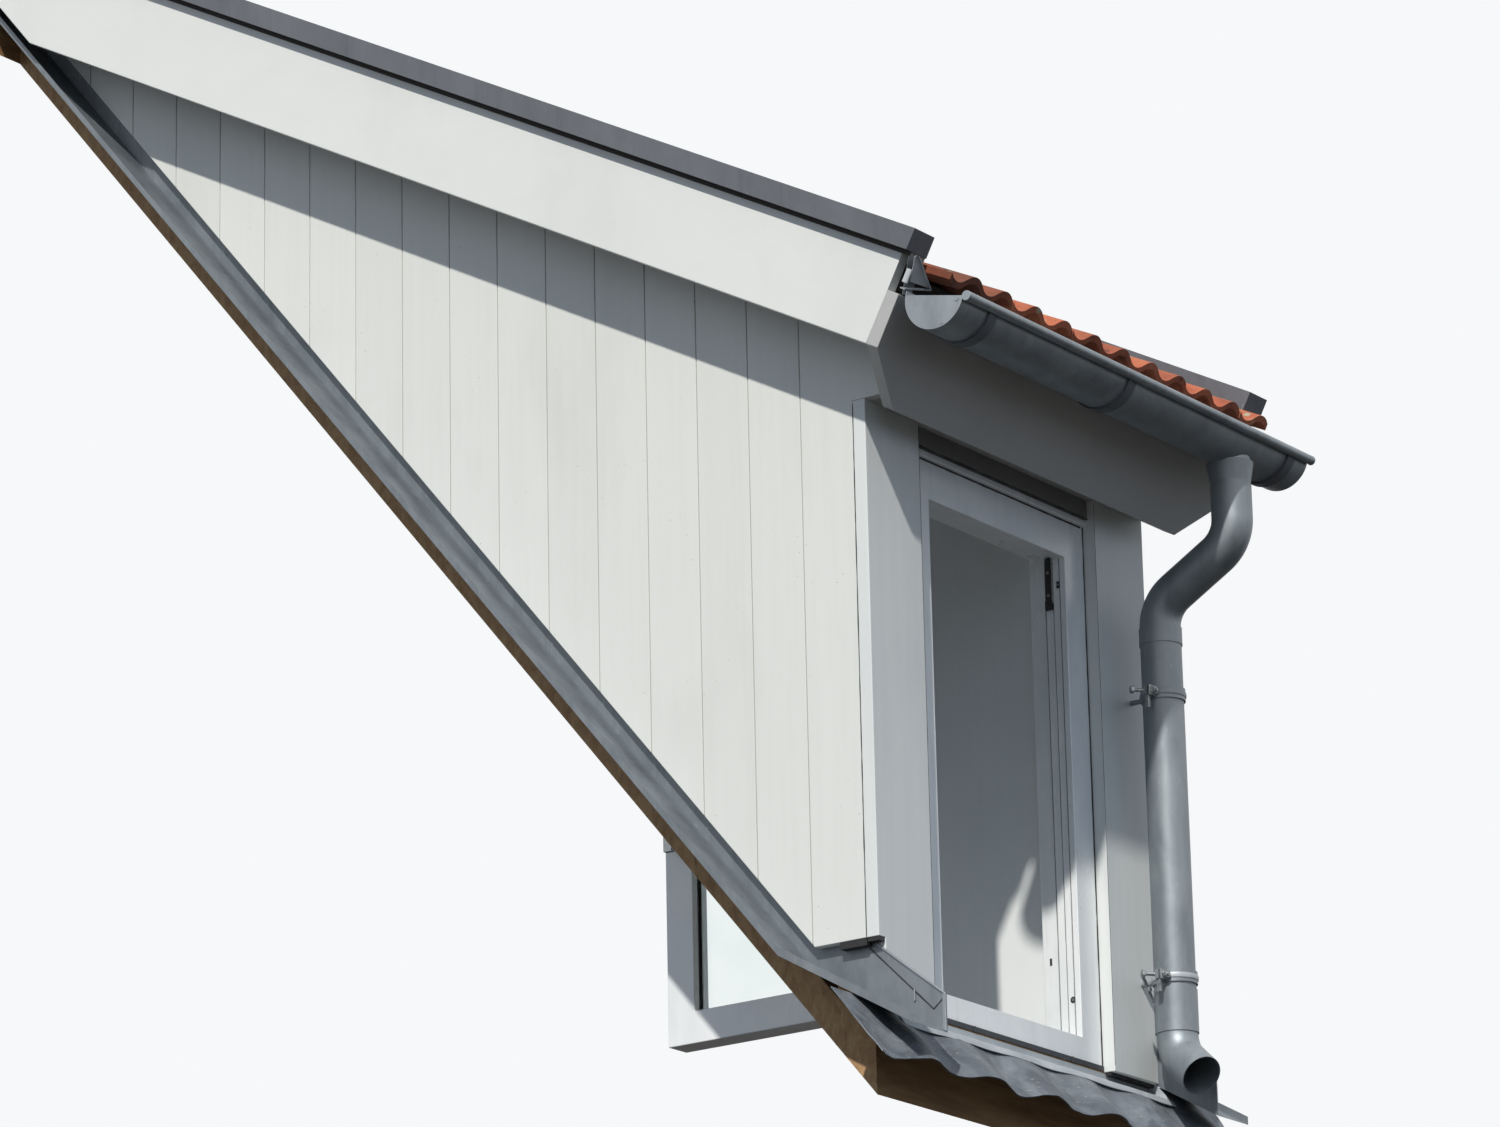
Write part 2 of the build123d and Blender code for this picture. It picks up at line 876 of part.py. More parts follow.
def make_downpipe():
    """Straight pipe with a socket at its top."""
    shoulder = pipe_top - pipe_socket
    pipe = vertical_ring(pipe_bottom, shoulder, pipe_radius, pipe_inner)
    lip = vertical_ring(shoulder - socket_lip, shoulder, socket_outer, pipe_inner)
    socket = vertical_ring(shoulder, pipe_top, socket_outer, socket_inner)
    return pipe + lip + socket


def make_pipe_shoe():
    """Socket and elbow, turned a little towards the middle, that throws the water on the tiles."""
    turn = math.radians(shoe_turn)
    towards = (-math.sin(turn), -math.cos(turn), 0)
    start = Plane(origin=(outlet_x, pipe_y, pipe_bottom), x_dir=towards, z_dir=(0, 0, -1))
    elbow = bent_pipe(start, shoe_radius, [(pipe_bottom - shoe_bend_start, shoe_angle), (shoe_tail, 0)])
    collar = vertical_ring(shoe_bend_start, pipe_bottom, socket_outer, pipe_inner)
    socket = vertical_ring(pipe_bottom, shoe_top, socket_outer, socket_inner)
    return elbow + collar + socket


def make_pipe_clip(z):
    """Band round the pipe with two bolted ears and a stud into the corner board."""
    low = z - clip_width / 2
    high = z + clip_width / 2
    inner = pipe_radius + fit_gap
    outer = inner + clip_thickness
    band = vertical_ring(low, high, outer, inner)
    ear_half = clip_thickness + clip_ear_gap / 2
    ear = block(
        outlet_x - outer - clip_ear,
        outlet_x - inner - clip_thickness / 2,
        pipe_y - ear_half,
        pipe_y + ear_half,
        low + clip_ear_inset,
        high - clip_ear_inset,
    )
    stud_start = pipe_y + inner + clip_thickness / 2
    stud_plane = Plane(origin=(outlet_x, stud_start, z), z_dir=(0, 1, 0))
    stud = extrude(stud_plane * Circle(clip_stud_radius), amount=face_y - stud_start)
    return band + ear + stud


parts["outlet_funnel"] = make_outlet_funnel()
parts["swan_neck"] = make_swan_neck()
parts["downpipe"] = make_downpipe()
parts["pipe_shoe"] = make_pipe_shoe()
parts["pipe_clip_upper"] = make_pipe_clip(pipe_top - clip_below_socket)
parts["pipe_clip_lower"] = make_pipe_clip(shoe_top + clip_above_shoe)


# Flashings
side_tip_y = face_y - side_front_reach
side_bend_z = main_z(side_bend_y, side_pan_lift)
side_slope = (side_bend_z - side_tip_low) / (side_bend_y - side_tip_y)


def apron_edge(x):
    """Length of the apron's flap at X, longer over each crest of the tiles below."""
    middle = (apron_reach + apron_valley) / 2
    return middle + (apron_reach - apron_valley) / 2 * math.cos(2 * math.pi * x / apron_wave)


def make_apron_wings():
    """Outer ends of the apron, which run up the slope as far as the underside of the side pans."""
    fold_out_y = face_y - apron_fold_out
    pan_z = side_tip_low + (fold_out_y - side_tip_y) * side_slope
    run = (pan_z - apron_fold_height) / (math.tan(main_slope) - side_slope) - fit_gap
    climb = run * math.tan(main_slope)
    rise = lead_sheet / math.cos(main_slope)
    points = [
        (fold_out_y, apron_fold_height),
        (fold_out_y, apron_fold_height - rise),
        (fold_out_y + run, apron_fold_height + climb - rise),
        (fold_out_y + run, apron_fold_height + climb),
    ]
    wing = prism(points, stud_outer, half_width + apron_side)
    return wing + mirrored(wing)


def make_lead_apron():
    """Lead under the window: upstand, short ledge and a wide scalloped flap over the tiles."""
    fold_out_y = face_y - apron_fold_out
    back_front_y = post_y - lead_sheet
    back_top = corner_board_bottom - apron_board_gap
    rise = lead_sheet / math.cos(main_slope)
    ledge = prism(
        [
            (post_y, back_top),
            (back_front_y, back_top),
            (back_front_y, apron_back_height),
            (fold_out_y, apron_fold_height),
            (fold_out_y, apron_fold_height - rise),
            (post_y, apron_back_height - rise),
        ],
        -stud_outer,
        stud_outer,
    )
    under_sill = block(-opening_half, opening_half, back_front_y, post_y, back_top, frame_bottom)
    half = half_width + apron_side
    steps = round(2 * half / apron_wave * apron_wave_points)
    edge_x = [-half + 2 * half * index / steps for index in range(steps + 1)]
    outline = Polyline((half, 0), (-half, 0), *[(x, -apron_edge(x)) for x in edge_x], close=True)
    plane = Plane(
        origin=(0, fold_out_y, apron_fold_height),
        x_dir=(1, 0, 0),
        z_dir=(0, -math.sin(main_slope), math.cos(main_slope)),
    )
    flap = extrude(plane * make_face(outline), amount=-lead_sheet)
    return ledge + under_sill + flap + make_apron_wings()


def make_side_flashing():
    """Pan beside the cheek with an upstand behind the cladding, running on past the front."""
    end_y = meet_y(rafter_depth - side_hem, side_pan_lift)
    top_y, top_z = meet_point(rafter_depth, side_pan_lift + side_upstand)
    upstand = prism(
        [
            (side_tip_y, side_tip_low),
            (side_bend_y, side_bend_z),
            (end_y, main_z(end_y, side_pan_lift)),
            (top_y, top_z),
            (post_y, main_z(post_y, side_pan_lift + side_upstand)),
            (post_y, cladding_front_cut),
            (side_tip_y, side_tip_high),
        ],
        stud_outer,
        stud_outer + sheet_gap,
    )
    pan_line = [
        (side_tip_y, side_tip_low),
        (side_bend_y, side_bend_z),
        (end_y, main_z(end_y, side_pan_lift)),
    ]
    pan = prism(
        pan_line + [(y, z + sheet_gap) for y, z in reversed(pan_line)],
        stud_outer,
        stud_outer + side_pan_width,
    )
    hem = prism(
        pan_line + [(y, z + side_hem) for y, z in reversed(pan_line)],
        stud_outer + side_pan_width - sheet_gap,
        stud_outer + side_pan_width,
    )
    return upstand + pan + hem


parts["lead_apron"] = make_lead_apron()
pair(parts, "side_flashing", make_side_flashing())


os.makedirs("parts", exist_ok=True)
for name, part in parts.items():
    export_step(part, f"parts/{name}.step")
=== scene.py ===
import math
import random

import bmesh
import bpy
from mathutils import Matrix, Vector, noise


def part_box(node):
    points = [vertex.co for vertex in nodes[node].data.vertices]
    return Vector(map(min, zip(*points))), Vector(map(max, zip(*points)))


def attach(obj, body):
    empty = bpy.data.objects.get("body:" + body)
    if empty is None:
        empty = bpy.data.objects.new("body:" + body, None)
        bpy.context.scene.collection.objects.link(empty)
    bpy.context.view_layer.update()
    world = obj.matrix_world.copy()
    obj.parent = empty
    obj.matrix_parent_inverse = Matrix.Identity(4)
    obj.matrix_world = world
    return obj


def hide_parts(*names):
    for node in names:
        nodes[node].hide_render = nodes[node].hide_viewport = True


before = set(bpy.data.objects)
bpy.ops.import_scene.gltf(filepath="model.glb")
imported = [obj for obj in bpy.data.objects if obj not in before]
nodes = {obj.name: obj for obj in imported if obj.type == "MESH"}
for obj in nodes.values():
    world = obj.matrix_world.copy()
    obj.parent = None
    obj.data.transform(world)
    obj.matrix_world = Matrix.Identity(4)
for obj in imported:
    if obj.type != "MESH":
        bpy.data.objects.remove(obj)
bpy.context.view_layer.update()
scene = bpy.context.scene


# Materials
class Shader:
    """Builds the nodes of one procedural material. Coordinates are the object's own, in metres."""

    def __init__(self, name, roughness=0.5, metallic=0.0, specular=0.5):
        self.material = bpy.data.materials.new(name)
        self.material.use_nodes = True
        self.tree = self.material.node_tree
        self.surface = self.tree.nodes["Principled BSDF"]
        self.surface.inputs["Roughness"].default_value = roughness
        self.surface.inputs["Metallic"].default_value = metallic
        self.surface.inputs["Specular IOR Level"].default_value = specular
        self.place = self.add("TexCoord").outputs["Object"]

    def add(self, kind, inputs=None, **settings):
        node = self.tree.nodes.new("ShaderNode" + kind)
        for key, value in settings.items():
            setattr(node, key, value)
        for key, value in (inputs or {}).items():
            self.feed(value, node.inputs[key])
        return node

    def feed(self, value, socket):
        """Gives a socket its value: another socket's output, or a constant."""
        if isinstance(value, bpy.types.NodeSocket):
            self.tree.links.new(value, socket)
        else:
            socket.default_value = value

    def stretched(self, scale):
        return self.add("Mapping", {"Vector": self.place, "Scale": scale}).outputs["Vector"]

    def noise(self, scale, stretch=(1, 1, 1), detail=4.0, rough=0.55, bend=0.0):
        inputs = {"Vector": self.stretched(stretch), "Scale": scale, "Detail": detail}
        inputs.update({"Roughness": rough, "Distortion": bend})
        return self.add("TexNoise", inputs).outputs["Fac"]

    def cells(self, scale, stretch=(1, 1, 1)):
        inputs = {"Vector": self.stretched(stretch), "Scale": scale}
        return self.add("TexVoronoi", inputs).outputs["Distance"]

    def between(self, value, low, high, start=0.0, end=1.0):
        """Value from start to end as the input goes from low to high, and level outside them."""
        inputs = {"Value": value, "From Min": low, "From Max": high, "To Min": start, "To Max": end}
        return self.add("MapRange", inputs, clamp=True).outputs["Result"]

    def product(self, first, second):
        return self.add("Math", {0: first, 1: second}, operation="MULTIPLY").outputs[0]

    def mix(self, first, second, factor):
        """First colour where the factor is 0, second where it is 1."""
        node = self.add("Mix", data_type="RGBA", clamp_factor=True)
        # Input 0 is the factor, inputs 6 and 7 are the colours and output 2 is the mixed colour
        factor_socket, first_socket, second_socket = (node.inputs[index] for index in (0, 6, 7))
        self.feed(factor, factor_socket)
        for colour, socket in ((first, first_socket), (second, second_socket)):
            self.feed((*colour, 1.0) if isinstance(colour, tuple) else colour, socket)
        return node.outputs[2]

    def tone_share(self, most):
        """Share that grows with the tone that is kept on each board's or tile's faces."""
        kept = self.add("Attribute", attribute_name="tone").outputs["Fac"]
        return self.between(kept, 0.0, 1.0, 0.0, most)

    def colour(self, value):
        self.tree.links.new(value, self.surface.inputs["Base Color"])

    def roughness(self, value):
        self.tree.links.new(value, self.surface.inputs["Roughness"])

    def bump(self, height, distance, strength=1.0, under=None):
        """Bump by a height of so many metres, on top of the bump under it."""
        inputs = {"Height": height, "Distance": distance, "Strength": strength}
        if under is not None:
            inputs["Normal"] = under
        result = self.add("Bump", inputs).outputs["Normal"]
        for link in list(self.surface.inputs["Normal"].links):
            self.tree.links.remove(link)
        self.tree.links.new(result, self.surface.inputs["Normal"])
        return result


def srgb(red, green, blue):
    """Colour as it is seen, from 0 to 255, as the linear values that Blender takes."""
    result = []
    for value in (red, green, blue):
        share = value / 255
        result.append(share / 12.92 if share <= 0.04045 else ((share + 0.055) / 1.055) ** 2.4)
    return tuple(result)


def paint_material(name, colour, dirt, grain_axis, speck=0.0):
    """Opaque paint on board: faint brush streaks along the grain, dirt and a few specks."""
    shader = Shader(name, roughness=0.42)
    stretch = {"Z": (1, 1, 0.04), "slope": (1, 0.1, 0.16), "X": (0.04, 1, 1)}[grain_axis]
    streak = shader.noise(55, stretch, 6.0, 0.65)
    cloud = shader.noise(3.2, (1, 1, 0.5), 5.0)
    tone = shader.mix(colour, dirt, shader.between(streak, 0.42, 0.85, 0.0, 0.16))
    tone = shader.mix(tone, dirt, shader.between(cloud, 0.52, 0.80, 0.0, 0.35))
    tone = shader.mix(tone, dirt, shader.tone_share(0.15))
    if speck:
        spots = shader.cells(speck)
        few = shader.between(shader.noise(9), 0.52, 0.60)
        mark = shader.product(shader.between(spots, 0.06, 0.035), few)
        tone = shader.mix(tone, srgb(60, 58, 52), mark)
    shader.colour(tone)
    shader.roughness(shader.between(cloud, 0.2, 0.8, 0.34, 0.55))
    lower = shader.bump(streak, 0.0006, 0.35)
    shader.bump(shader.noise(240, (1, 1, 1), 3.0), 0.0003, 0.25, lower)
    return shader.material


def zinc_material(name, colour, bright, roughness, metallic):
    """Weathered zinc sheet with clouded patina, run marks and fine spots."""
    shader = Shader(name, roughness=roughness, metallic=metallic)
    cloud = shader.noise(14, (1, 1, 0.45), 6.0, 0.62, 0.4)
    fine = shader.noise(120, (1, 1, 0.3), 3.0)
    run = shader.noise(38, (1, 1, 0.08), 4.0)
    tone = shader.mix(colour, bright, shader.between(cloud, 0.30, 0.80, 0.15, 0.75))
    dark = tuple(value * 0.55 for value in colour)
    tone = shader.mix(tone, dark, shader.between(run, 0.55, 0.80, 0.0, 0.32))
    tone = shader.mix(tone, bright, shader.between(fine, 0.62, 0.75, 0.0, 0.4))
    shader.colour(tone)
    shader.roughness(shader.between(cloud, 0.3, 0.75, roughness - 0.05, roughness + 0.12))
    shader.bump(cloud, 0.0012, 0.25)
    return shader.material


def lead_material(name, wear, colour, bright):
    """Dull lead sheet. Wear is how much it is scratched and clouded."""
    shader = Shader(name, roughness=0.62, metallic=0.2)
    cloud = shader.noise(11, (1, 1, 1), 6.0, 0.66, 0.8)
    scratch = shader.noise(150, (0.25, 1, 1), 3.0)
    tone = shader.mix(colour, bright, shader.between(cloud, 0.40, 0.66))
    tone = shader.mix(tone, srgb(178, 180, 178), shader.between(scratch, 0.64, 0.74, 0.0, 0.6 * wear))
    shader.colour(tone)
    shader.roughness(shader.between(cloud, 0.3, 0.7, 0.5, 0.75))
    lower = shader.bump(cloud, 0.004, 0.4 * wear)
    shader.bump(scratch, 0.0006, 0.5, lower)
    return shader.material


def tile_material():
    """Red clay with dark weathering and lichen."""
    shader = Shader("clay_tile", roughness=0.78, specular=0.3)
    cloud = shader.noise(9, (1, 1, 1), 7.0, 0.66)
    patch = shader.noise(3.1, (1, 0.6, 0.6), 6.0, 0.6, 0.6)
    grit = shader.noise(420, (1, 1, 1), 2.0)
    tone = shader.mix(srgb(170, 88, 60), srgb(206, 124, 90), shader.between(cloud, 0.36, 0.68))
    tone = shader.mix(tone, srgb(84, 56, 46), shader.between(patch, 0.50, 0.66, 0.0, 0.8))
    tone = shader.mix(tone, srgb(108, 62, 46), shader.tone_share(0.7))
    soot = shader.between(shader.noise(34, detail=5.0), 0.60, 0.72, 0.0, 0.7)
    tone = shader.mix(tone, srgb(52, 44, 40), soot)
    spots = shader.between(shader.cells(26), 0.26, 0.16)
    lichen = shader.product(spots, shader.between(shader.noise(5.3), 0.54, 0.62))
    tone = shader.mix(tone, srgb(172, 168, 140), lichen)
    shader.colour(tone)
    lower = shader.bump(grit, 0.0008, 0.5)
    shader.bump(cloud, 0.003, 0.25, lower)
    return shader.material


def timber_material(name, light, dark):
    """Sawn timber with its grain along X."""
    shader = Shader(name, roughness=0.7)
    grain = shader.noise(60, (0.06, 1, 0.5), 6.0, 0.7, 0.5)
    tone = shader.mix(light, dark, shader.between(grain, 0.38, 0.72))
    shader.colour(tone)
    shader.bump(grain, 0.0012, 0.4)
    return shader.material


def white_profile_material():
    """Glossy white window profile with faint clouds and run marks."""
    shader = Shader("window_profile", roughness=0.28, specular=1.0)
    cloud = shader.noise(7, (1, 1, 0.4), 5.0)
    streak = shader.noise(70, (1, 1, 0.05), 4.0)
    tone = shader.mix(srgb(250, 251, 250), srgb(226, 230, 230), shader.between(cloud, 0.45, 0.75))
    tone = shader.mix(tone, srgb(196, 200, 200), shader.between(streak, 0.60, 0.85, 0.0, 0.4))
    shader.colour(tone)
    shader.roughness(shader.between(cloud, 0.3, 0.7, 0.22, 0.4))
    shader.bump(shader.noise(300, detail=2.0), 0.0001, 0.3)
    return shader.material


def steel_material(name, colour):
    """Galvanised steel with spangle."""
    shader = Shader(name, roughness=0.4, metallic=0.9)
    spangle = shader.cells(160)
    light = tuple(min(1.0, value * 1.5) for value in colour)
    tone = shader.mix(colour, light, shader.between(spangle, 0.1, 0.6))
    shader.colour(tone)
    shader.roughness(shader.between(spangle, 0.0, 0.7, 0.3, 0.5))
    shader.bump(shader.noise(260, detail=3.0), 0.0003, 0.3)
    return shader.material


def plain_material(name, colour, roughness):
    """Small dark parts: gaskets, plastic caps and shadow gaps, with a fine grain."""
    shader = Shader(name, roughness=roughness)
    grain = shader.noise(500, detail=2.0)
    light = tuple(value * 1.8 + 0.01 for value in colour)
    tone = shader.mix(colour, light, shader.between(grain, 0.4, 0.75))
    shader.colour(tone)
    shader.bump(grain, 0.0002, 0.4)
    return shader.material


def glass_material():
    """Clear glass with a faint uneven film."""
    shader = Shader("clear_glass", roughness=0.03)
    shader.surface.inputs["Transmission Weight"].default_value = 1.0
    shader.surface.inputs["IOR"].default_value = 1.45
    film = shader.noise(6, detail=5.0)
    shader.colour(shader.mix((0.90, 0.96, 0.94), (0.80, 0.88, 0.87), shader.between(film, 0.45, 0.8)))
    return shader.material


cheek_paint = paint_material("cheek_paint", srgb(232, 232, 226), srgb(196, 198, 190), "Z", 62.0)
board_paint = paint_material("board_paint", srgb(228, 230, 227), srgb(182, 188, 188), "Z")
slope_paint = paint_material("slope_paint", srgb(233, 233, 228), srgb(200, 203, 198), "slope")
# Fascia and soffit paint: white boards greyed to this tone as painted shade, for the deep shade under the
# eaves
cross_paint_painted_shade = paint_material("cross_paint_painted_shade", srgb(188, 187, 184), srgb(150, 150, 148), "X")
lining_paint = paint_material("lining_paint", srgb(238, 240, 238), srgb(208, 212, 212), "Z")
dark_paint = paint_material("dark_paint", srgb(142, 142, 143), srgb(108, 108, 109), "X")
zinc = zinc_material("zinc_patina", srgb(121, 129, 135), srgb(176, 183, 187), 0.50, 0.6)
zinc_flashing = zinc_material("zinc_flashing", srgb(104, 111, 118), srgb(152, 159, 164), 0.52, 0.55)
# Light zinc; on the verge stops it also carries painted reflection
zinc_bright = zinc_material("zinc_bright", srgb(180, 186, 190), srgb(216, 220, 222), 0.45, 0.3)
zinc_dark = zinc_material("zinc_dark", srgb(92, 95, 100), srgb(121, 125, 131), 0.62, 0.3)
lead = lead_material("lead_dressed", 1.0, srgb(90, 96, 103), srgb(134, 140, 146))
# Near-black lead for the strip under the sill: partly the lead's dirt, partly painted shade of the recess
# under the sill
lead_dirt_and_painted_shade = lead_material("lead_dirt_and_painted_shade", 0.5, srgb(52, 55, 60), srgb(74, 78, 84))
lead_smooth = lead_material("lead_smooth", 0.25, srgb(162, 168, 173), srgb(186, 191, 195))
clay = tile_material()
timber = timber_material("sawn_timber", srgb(196, 158, 112), srgb(148, 108, 70))
# Near-black timber for the battens, eaves fillet and boarding: painted shade, for the deep shade under the
# first tiles
painted_shade_timber = timber_material("dark_timber_painted_shade", srgb(62, 56, 50), srgb(40, 37, 34))
white_profile = white_profile_material()
steel = steel_material("galvanised_steel", srgb(140, 144, 146))
dark_fitting = plain_material("dark_fitting", srgb(32, 33, 35), 0.45)
# Near-black beads drawn as gaskets: painted shade in the joints, and painted shadow under the drip strip and
# at the flashing seams
gasket_painted_shade = plain_material("gasket_painted_shade", srgb(26, 26, 27), 0.6)
grey_seal = plain_material("grey_seal", srgb(122, 124, 126), 0.6)
# Dark brown-grey strip: painted shadow under the verge trims
painted_shadow_strip = plain_material("painted_shadow_strip", srgb(54, 51, 48), 0.8)
glass = glass_material()


# Building pieces
merge_distance = 0.00001


def ease(piece, arris):
    """Rounds a piece's sharp edges to a small radius."""
    bevel = piece.modifiers.new("arris", "BEVEL")
    bevel.width = arris
    bevel.segments = 2
    bevel.limit_method = "ANGLE"
    bevel.angle_limit = math.radians(30)
    bevel.harden_normals = True


def split_sharp(piece, degrees=38):
    """Smooth shading inside faces that meet gently, with a hard line where they meet sharply."""
    for polygon in piece.data.polygons:
        polygon.use_smooth = True
    split = piece.modifiers.new("sharp", "EDGE_SPLIT")
    split.split_angle = math.radians(degrees)
    weighted = piece.modifiers.new("weighted", "WEIGHTED_NORMAL")
    weighted.mode = "FACE_AREA"
    weighted.weight = 100


def add_piece(name, work, material, stands_for=(), arris=0.0, thickness=0.0, degrees=38):
    """Makes a piece of a bmesh. It rides with the dormer and stands for the CAD nodes named."""
    mesh = bpy.data.meshes.new(name)
    work.to_mesh(mesh)
    work.free()
    mesh.materials.append(material)
    piece = bpy.data.objects.new(name, mesh)
    scene.collection.objects.link(piece)
    if thickness:
        solid = piece.modifiers.new("thickness", "SOLIDIFY")
        solid.thickness = thickness
        solid.offset = -1.0
    if arris:
        ease(piece, arris)
    split_sharp(piece, degrees)
    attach(piece, "root")
    if stands_for:
        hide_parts(*stands_for)


def cut_away(work, point, normal):
    """Removes what lies on the normal's side of a plane, and closes the cut."""
    every = work.verts[:] + work.edges[:] + work.faces[:]
    cut = bmesh.ops.bisect_plane(work, geom=every, plane_co=point, plane_no=normal, clear_outer=True)
    rim = [item for item in cut["geom_cut"] if isinstance(item, bmesh.types.BMEdge)]
    if rim:
        bmesh.ops.edgenet_fill(work, edges=rim)


def collect(work, part, tone):
    """Adds a closed part to a larger bmesh, with one tone on all its faces."""
    layer = part.faces.layers.float.get("tone") or part.faces.layers.float.new("tone")
    for face in part.faces:
        face[layer] = tone
    bmesh.ops.recalc_face_normals(part, faces=part.faces)
    mesh = bpy.data.meshes.new("part")
    part.to_mesh(mesh)
    part.free()
    work.from_mesh(mesh)
    bpy.data.meshes.remove(mesh)


def quad_grid(work, rows, closed=False):
    """Faces between rows of points. A closed grid joins each row's last point to its first."""
    made = [[work.verts.new(point) for point in row] for row in rows]
    for lower, upper in zip(made, made[1:]):
        count = len(lower)
        for index in range(count if closed else count - 1):
            after = (index + 1) % count
            work.faces.new((lower[index], lower[after], upper[after], upper[index]))
    return made


def block(work, low, high):
    """Adds a closed block between two corners."""
    for vert in bmesh.ops.create_cube(work, size=1.0)["verts"]:
        shares = [value + 0.5 for value in vert.co]
        vert.co = [first + (last - first) * share for first, last, share in zip(low, high, shares)]


def disc(work, start, axis, radius, length, sides=24):
    """Adds a bolt, head, nut or washer that rises from a point along an axis."""
    along = Vector(axis).normalized()
    turn = along.to_track_quat("Z", "Y").to_matrix().to_4x4()
    place = Matrix.Translation(Vector(start) + along * length / 2) @ turn
    shape = {"cap_ends": True, "segments": sides, "radius1": radius, "radius2": radius, "depth": length}
    bmesh.ops.create_cone(work, matrix=place, **shape)


def plate(work, outline, depth):
    """Adds a sheet between an outline and the same outline moved by a vector."""
    front = [work.verts.new(point) for point in outline]
    back = [work.verts.new(Vector(point) + Vector(depth)) for point in outline]
    work.faces.new(front)
    work.faces.new(back[::-1])
    for index in range(len(outline)):
        after = (index + 1) % len(outline)
        work.faces.new((front[after], front[index], back[index], back[after]))


def bead(work, start, end, across, out, width, height, rough=0.8, steps=60):
    """Adds an uneven strip from start to end, such as sealant in a joint."""
    across = Vector(across)
    rise = Vector(out) * height
    rows = []
    for step in range(steps + 1):
        point = Vector(start).lerp(Vector(end), step / steps)
        spread = across * width * (0.5 + 0.5 * rough * noise.noise(point * 35))
        rows.append((point - spread, point + spread, point + spread + rise, point - spread + rise))
    made = quad_grid(work, rows, closed=True)
    work.faces.new(made[0])
    work.faces.new(made[-1])


def add_fitting(name, work, material, arris=0.0):
    """Makes a small piece that scene.py adds and that stands for no CAD node."""
    bmesh.ops.recalc_face_normals(work, faces=work.faces)
    add_piece(name, work, material, arris=arris)


# Cheek boards
post_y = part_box("corner_board_left")[1][1]
board_cover = 0.118
board_joint = 0.0012


def make_cheek(side):
    """The cheek's panel cut into upright boards, each with eased edges and its own tone."""
    name = "cladding_" + side
    low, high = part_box(name)
    cuts = [low[1] - board_cover]
    while cuts[-1] < high[1]:
        cuts.append(post_y + len(cuts) * board_cover)
    work = bmesh.new()
    for first, second in zip(cuts, cuts[1:]):
        board = bmesh.new()
        board.from_mesh(nodes[name].data)
        bmesh.ops.remove_doubles(board, verts=board.verts, dist=merge_distance)
        cut_away(board, (0, second - board_joint / 2, 0), (0, 1, 0))
        cut_away(board, (0, first + board_joint / 2, 0), (0, -1, 0))
        flat = math.radians(1)
        bmesh.ops.dissolve_limit(board, angle_limit=flat, verts=board.verts, edges=board.edges)
        collect(work, board, random.random())
    add_piece("cheek_boards_" + side, work, cheek_paint, (name,), 0.002)


random.seed(11)
make_cheek("left")
make_cheek("right")


# Roof tiles
roof_slope = math.radians(28.5)
main_slope = math.radians(50.0)
fold_y = -0.1485
fold_z = 1.31095
tile_width = 0.19927
tile_course = 0.340
tile_length = 0.365
tile_start = -0.090
tile_lift = 0.151
tile_thickness = 0.013
tile_wave = 0.011
trough_flatness = 0.8
tile_shift_most = 0.0025
tile_lean_most = 0.0012
tile_left = -0.548
tile_joint = 0.0008
tile_steps = 24
tile_courses = 9
tile_runs = (0.0, 0.10, 0.22, tile_length)
narrowest_tile = 0.01
covering_lift = 0.140


def slope_point(x, along, lift):
    """Point so far along the dormer's roof from its fold, and so far above the rafters."""
    y = fold_y + along * math.cos(roof_slope) - lift * math.sin(roof_slope)
    z = fold_z + along * math.sin(roof_slope) + lift * math.cos(roof_slope)
    return Vector((x, y, z))


def tile_profile(share):
    """Height across one tile: two flat troughs and two rolls."""
    turn = math.sin(4 * math.pi * share)
    return -tile_wave * math.copysign(abs(turn) ** trough_flatness, turn)


def make_tile(left, width, along):
    """One clay tile as a closed shell, raised on the course below and tilted a little by hand."""
    steps = round(tile_steps * width / tile_width)
    shift = random.uniform(-tile_shift_most, tile_shift_most)
    lean = random.uniform(-tile_lean_most, tile_lean_most)
    rows = []
    for run in tile_runs:
        fall = tile_thickness * (1 - run / tile_course)
        row = []
        for face_lift, order in ((0.0, range(steps + 1)), (tile_thickness, range(steps, -1, -1))):
            for step in order:
                share = step / tile_steps
                x = left + tile_joint + (width - 2 * tile_joint) * step / steps
                lift = tile_lift + fall + tile_profile(share) + face_lift + lean * (share - 0.5)
                row.append(slope_point(x, along + shift + run, lift))
        rows.append(row)
    tile = bmesh.new()
    made = quad_grid(tile, rows, closed=True)
    for ring in (made[0], made[-1]):
        for index in range(steps):
            tile.faces.new((ring[index], ring[index + 1], ring[-index - 2], ring[-index - 1]))
    return tile


def make_tiles():
    """All courses from the eaves up, cut off along the steeper slope that the dormer sits on."""
    work = bmesh.new()
    level = covering_lift / math.cos(main_slope)
    for course in range(tile_courses):
        along = tile_start + course * tile_course
        left = tile_left
        while left < -tile_left - narrowest_tile:
            width = min(tile_width, -tile_left - left)
            tile = make_tile(left, width, along)
            cut_away(tile, (0, 0, level), (0, math.sin(main_slope), -math.cos(main_slope)))
            collect(work, tile, random.random() ** 2)
            left += width
    add_piece("dormer_tiles", work, clay, ("roof_tiles",), 0.0025)


make_tiles()


# Lead apron under the window
apron_half = 0.625
apron_reach = 0.127
apron_column = 0.005
apron_rows = 22
apron_thickness = 0.0022
wing_inner = 0.4545
wing_run = 0.043
wave_height = 0.010
wave_start_run = 0.060
crease_height = 0.0028
edge_wander = 0.004
roll_pitch = 0.200
roll_offset = 0.080
fold_out = Vector((0, -0.085, 0.091))
down_slope = Vector((0, -math.cos(main_slope), -math.sin(main_slope)))
off_slope = Vector((0, -math.sin(main_slope), math.cos(main_slope)))


def roll(x):
    """Waves of the dressed lead across the front, from -1 to 1."""
    return math.cos(2 * math.pi * (x + roll_offset) / roll_pitch)


